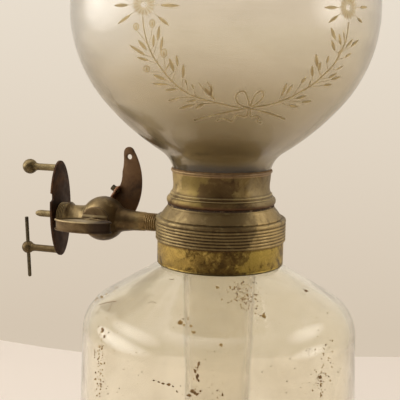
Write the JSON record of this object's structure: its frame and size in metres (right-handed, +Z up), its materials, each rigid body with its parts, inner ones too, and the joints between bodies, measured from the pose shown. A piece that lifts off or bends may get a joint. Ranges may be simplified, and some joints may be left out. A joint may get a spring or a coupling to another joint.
{
  "type": "hydrogen lamp",
  "caption": "Two-vessel gas lighter: a glass water globe over a glass gas jar, joined by a brass collar with a gas cock, jet, spark posts and pull lever.",
  "frame": {"origin": "centre of the jar's flat underside", "axes": "+Z up along the vessels' common axis, the gas cock points along -X, the thumb-piece of its key faces -Y"},
  "size_m": [0.2019, 0.1586, 0.4346],
  "materials": {
    "jar_glass": "clear, slightly warm, with brown specks and rust stains",
    "globe_glass": "grey silvery haze with golden-brown engraved wreath",
    "collar_brass": "turned, blotchy brown and golden patina",
    "cock_brass": "turned, even olive-brown patina, worn on the edges",
    "post_brass": "turned, light olive patina",
    "dark_brass": "sheet, dark brown patina",
    "leather": "hard, dark, compressed",
    "cement": "brown resin cement"
  },
  "bodies": {
    "vessel": {"jar": "jar_glass", "jar_cement": "cement", "jar_ferrule": "collar_brass", "collar_body": "collar_brass", "joint_washer": "leather", "globe_ferrule": "collar_brass", "globe_cement": "cement", "globe": "globe_glass", "mouth_ferrule": "collar_brass", "mouth_cement": "cement", "cock_body": "cock_brass", "ring_nut": "cock_brass", "electrode_plate": "dark_brass", "jet_nozzle": "cock_brass", "upper_post": "post_brass", "lower_post": "post_brass"},
    "key": {"cock_key": "cock_brass", "key_washer": "cock_brass", "horn_lever": "dark_brass", "key_nut": "cock_brass", "lug_screw": "dark_brass"},
    "rod": {"spark_rod": "dark_brass"},
    "lid": {"filler_lid": "collar_brass", "lid_knob": "collar_brass"}
  },
  "joints": [
    {"name": "key_turn", "type": "hinge", "parent": "vessel", "child": "key", "pos_m": [-0.0695, 0, 0.20882], "axis": [0, -1, 0], "range_deg": [0, 90]},
    {"name": "rod_slide", "type": "slide", "parent": "vessel", "child": "rod", "axis": [0, -0.0698, 0.9976], "range_m": [-0.012, 0.012]},
    {"name": "lid_lift", "type": "slide", "parent": "vessel", "child": "lid", "axis": [0, 0, 1], "range_m": [0, 0.04]}
  ]
}
